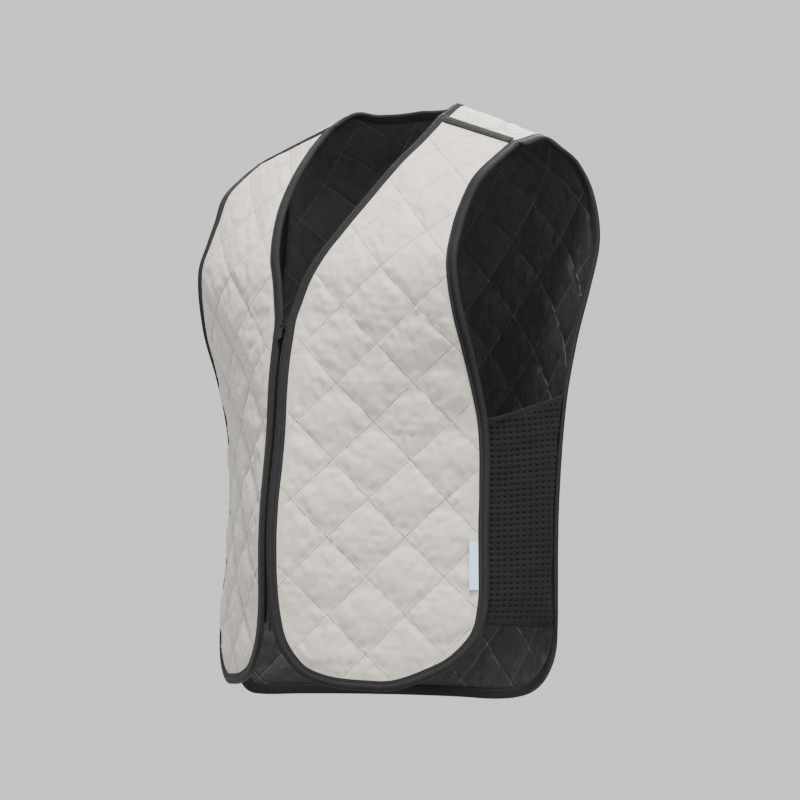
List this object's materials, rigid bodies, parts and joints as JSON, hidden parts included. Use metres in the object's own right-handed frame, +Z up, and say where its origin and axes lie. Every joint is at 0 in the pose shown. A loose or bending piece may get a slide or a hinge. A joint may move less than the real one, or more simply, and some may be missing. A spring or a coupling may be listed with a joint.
{
  "type": "cooling vest",
  "caption": "Sleeveless quilted cooling vest with a front zip, black lining, bound edges and elastic side panels, standing as worn.",
  "frame": {"origin": "midway between the middles of the two shoulder seams, where the vest hangs on the shoulders", "axes": "+Z up, the wearer faces -Y, +X towards the wearer's left"},
  "size_m": [0.4833, 0.3543, 0.6845],
  "materials": {
    "outer_cloth": "silver-grey satin nylon, quilted in squares on their corners",
    "lining_cloth": "black soft satin lining, quilted",
    "binding_tape": "charcoal woven binding tape",
    "elastic": "black elastic mesh knit",
    "zip_cloth": "black woven zip tape",
    "zip_coil": "black nylon coil",
    "zip_metal": "black painted metal",
    "label_cloth": "pale blue woven tab"
  },
  "bodies": {
    "vest": {"front_left_shell": "outer_cloth", "front_right_shell": "outer_cloth", "back_shell": "outer_cloth", "front_left_lining": "lining_cloth", "front_right_lining": "lining_cloth", "back_lining": "lining_cloth", "front_left_binding": "binding_tape", "front_right_binding": "binding_tape", "back_binding": "binding_tape", "back_neck_binding": "binding_tape", "shoulder_tape_left": "binding_tape", "shoulder_tape_right": "binding_tape", "side_elastic_left": "elastic", "side_elastic_right": "elastic", "zip_tape_left": "zip_cloth", "zip_tape_right": "zip_cloth", "zip_teeth_left": "zip_coil", "zip_teeth_right": "zip_coil", "zip_top_stop_left": "zip_metal", "zip_top_stop_right": "zip_metal", "zip_slider": "zip_metal", "zip_box": "zip_metal", "side_label": "label_cloth"},
    "pull": {"zip_pull": "zip_metal"}
  },
  "joints": [
    {"name": "pull_swing", "type": "hinge", "parent": "vest", "child": "pull", "pos_m": [0, -0.17786, -0.21776], "axis": [-1, 0, 0], "range_deg": [0, 150]}
  ]
}
